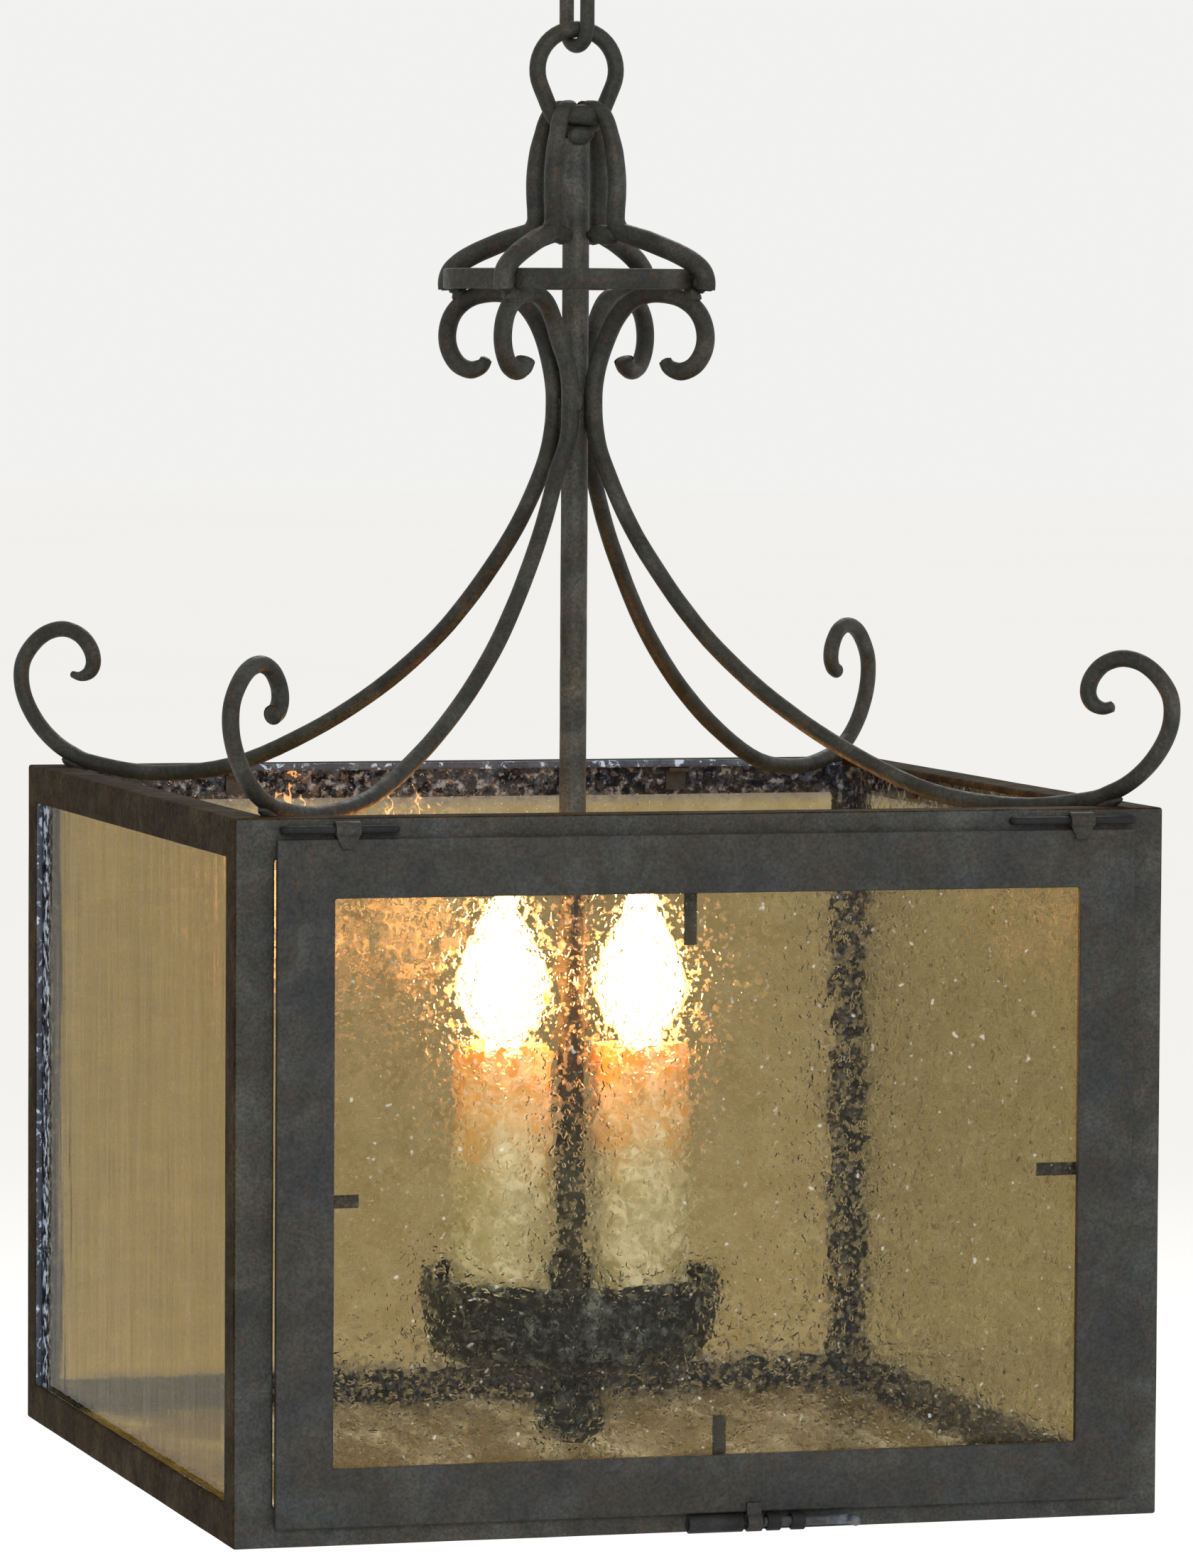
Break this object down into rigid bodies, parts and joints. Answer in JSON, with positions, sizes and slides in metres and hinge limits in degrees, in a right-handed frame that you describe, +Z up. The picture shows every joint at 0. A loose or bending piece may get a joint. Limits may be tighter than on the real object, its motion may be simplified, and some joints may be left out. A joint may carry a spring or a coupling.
{
  "type": "hanging lantern",
  "caption": "Open-topped hanging lantern of dark angle iron with seeded amber glass, scroll arms, a crown band, candle lamps on a dish, a top-hung glazed door and a sliding bolt.",
  "frame": {"origin": "the topmost point inside the chain link, where the lantern hangs from its hook or chain", "axes": "+Z up along the centre tube, -Y towards the door, +X to the right of someone facing the door"},
  "size_m": [0.3536, 0.359, 0.5621],
  "materials": {
    "iron": "dark mottled bronze-black patina over forged iron",
    "glass": "seeded amber glass",
    "wax": "drip-coloured candle cover, orange at the top",
    "bulb": "lit flame-shaped lamp",
    "socket": "plain lamp holder"
  },
  "bodies": {
    "link": {"chain_link": "iron"},
    "ring": {"hanging_ring": "iron"},
    "lantern": {"post_front_left": "iron", "post_front_right": "iron", "post_back_right": "iron", "post_back_left": "iron", "top_rail_front": "iron", "top_rail_right": "iron", "top_rail_back": "iron", "top_rail_left": "iron", "bottom_rail_front": "iron", "bottom_rail_right": "iron", "bottom_rail_back": "iron", "bottom_rail_left": "iron", "glass_back": "glass", "glass_left": "glass", "glass_right": "glass", "glass_bottom": "glass", "glass_clip_back_1": "iron", "glass_clip_back_2": "iron", "glass_clip_left_1": "iron", "glass_clip_left_2": "iron", "glass_clip_right_1": "iron", "glass_clip_right_2": "iron", "scroll_arm_front_right": "iron", "scroll_arm_back_right": "iron", "scroll_arm_back_left": "iron", "scroll_arm_front_left": "iron", "cage_rod_front_right": "iron", "cage_rod_back_right": "iron", "cage_rod_back_left": "iron", "cage_rod_front_left": "iron", "crown_band": "iron", "central_tube": "iron", "candle_dish": "iron", "dish_finial": "iron", "candle_foot_left": "iron", "candle_foot_right": "iron", "candle_sleeve_left": "wax", "candle_sleeve_right": "wax", "lamp_socket_left": "socket", "lamp_socket_right": "socket", "bulb_left": "bulb", "bulb_right": "bulb", "hinge_pin_left": "iron", "hinge_pin_right": "iron", "latch_guide_inner": "iron", "latch_guide_outer": "iron", "latch_keeper": "iron"},
    "door": {"door_frame": "iron", "door_glass": "glass", "door_tab_top": "iron", "door_tab_bottom": "iron", "door_tab_left": "iron", "door_tab_right": "iron", "hinge_strap_left": "iron", "hinge_strap_right": "iron", "latch_hasp": "iron"},
    "bolt": {"latch_bolt": "iron"}
  },
  "joints": [
    {"name": "ring_swing", "type": "hinge", "parent": "link", "child": "ring", "pos_m": [0, 0, -0.02477], "axis": [0, 1, 0], "range_deg": [-25, 25]},
    {"name": "lantern_swing", "type": "hinge", "parent": "ring", "child": "lantern", "pos_m": [0, 0, -0.0555], "axis": [1, 0, 0], "range_deg": [-8, 8]},
    {"name": "door_hinge", "type": "hinge", "parent": "lantern", "child": "door", "pos_m": [0, -0.1747, -0.3046], "axis": [-1, 0, 0], "range_deg": [0, 95]},
    {"name": "latch_slide", "type": "slide", "parent": "lantern", "child": "bolt", "axis": [-1, 0, 0], "range_m": [0, 0.015]}
  ]
}
